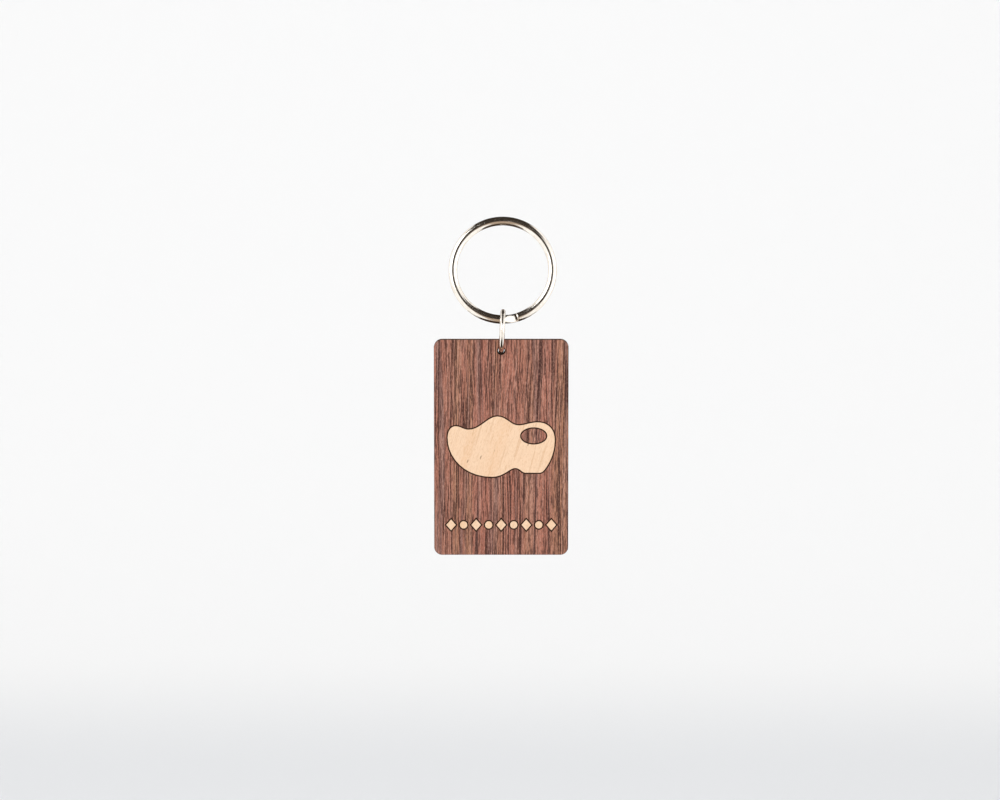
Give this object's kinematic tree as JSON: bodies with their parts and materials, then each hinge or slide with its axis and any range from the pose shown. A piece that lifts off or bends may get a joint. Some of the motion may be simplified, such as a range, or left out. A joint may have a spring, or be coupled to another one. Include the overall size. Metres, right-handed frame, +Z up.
{
  "type": "keychain",
  "caption": "Small flat wooden souvenir tag with an inlaid clog and a row of small inlaid shapes, hung by a jump ring from a split ring that holds keys.",
  "frame": {"origin": "the point inside the top of the split ring where a hook or a finger carries the hanging keychain", "axes": "+Z up against gravity as it hangs, +X to the right seen from the front, -Y out of the tag's inlaid face"},
  "size_m": [0.031, 0.011, 0.078],
  "materials": {
    "split_ring_nickel": "bright nickel plate on spring steel",
    "jump_ring_nickel": "bright nickel plate on soft wire",
    "walnut": "sanded, thin matt oil, upright open grain",
    "maple": "sanded, thin matt oil, fine slanting grain",
    "core_wood": "plain board, edges browned where they were cut"
  },
  "bodies": {
    "split_ring": {"split_ring": "split_ring_nickel"},
    "jump_ring": {"jump_ring": "jump_ring_nickel"},
    "tag": {"core_board": "core_wood", "back_veneer": "walnut", "front_veneer": "walnut", "clog_inlay": "maple", "clog_mouth_inlay": "walnut", "band_diamond_1": "maple", "band_dot_1": "maple", "band_diamond_2": "maple", "band_dot_2": "maple", "band_diamond_3": "maple", "band_dot_3": "maple", "band_diamond_4": "maple", "band_dot_4": "maple", "band_diamond_5": "maple"}
  },
  "joints": [
    {"name": "jump_ring_swing", "type": "hinge", "parent": "split_ring", "child": "jump_ring", "pos_m": [0, -0.00476, -0.02148], "axis": [1, 0, 0], "range_deg": [-120, 90]},
    {"name": "tag_swing", "type": "hinge", "parent": "jump_ring", "child": "tag", "pos_m": [-0.00034, -0.00476, -0.02862], "axis": [0, 1, 0], "range_deg": [-22, 22]}
  ]
}
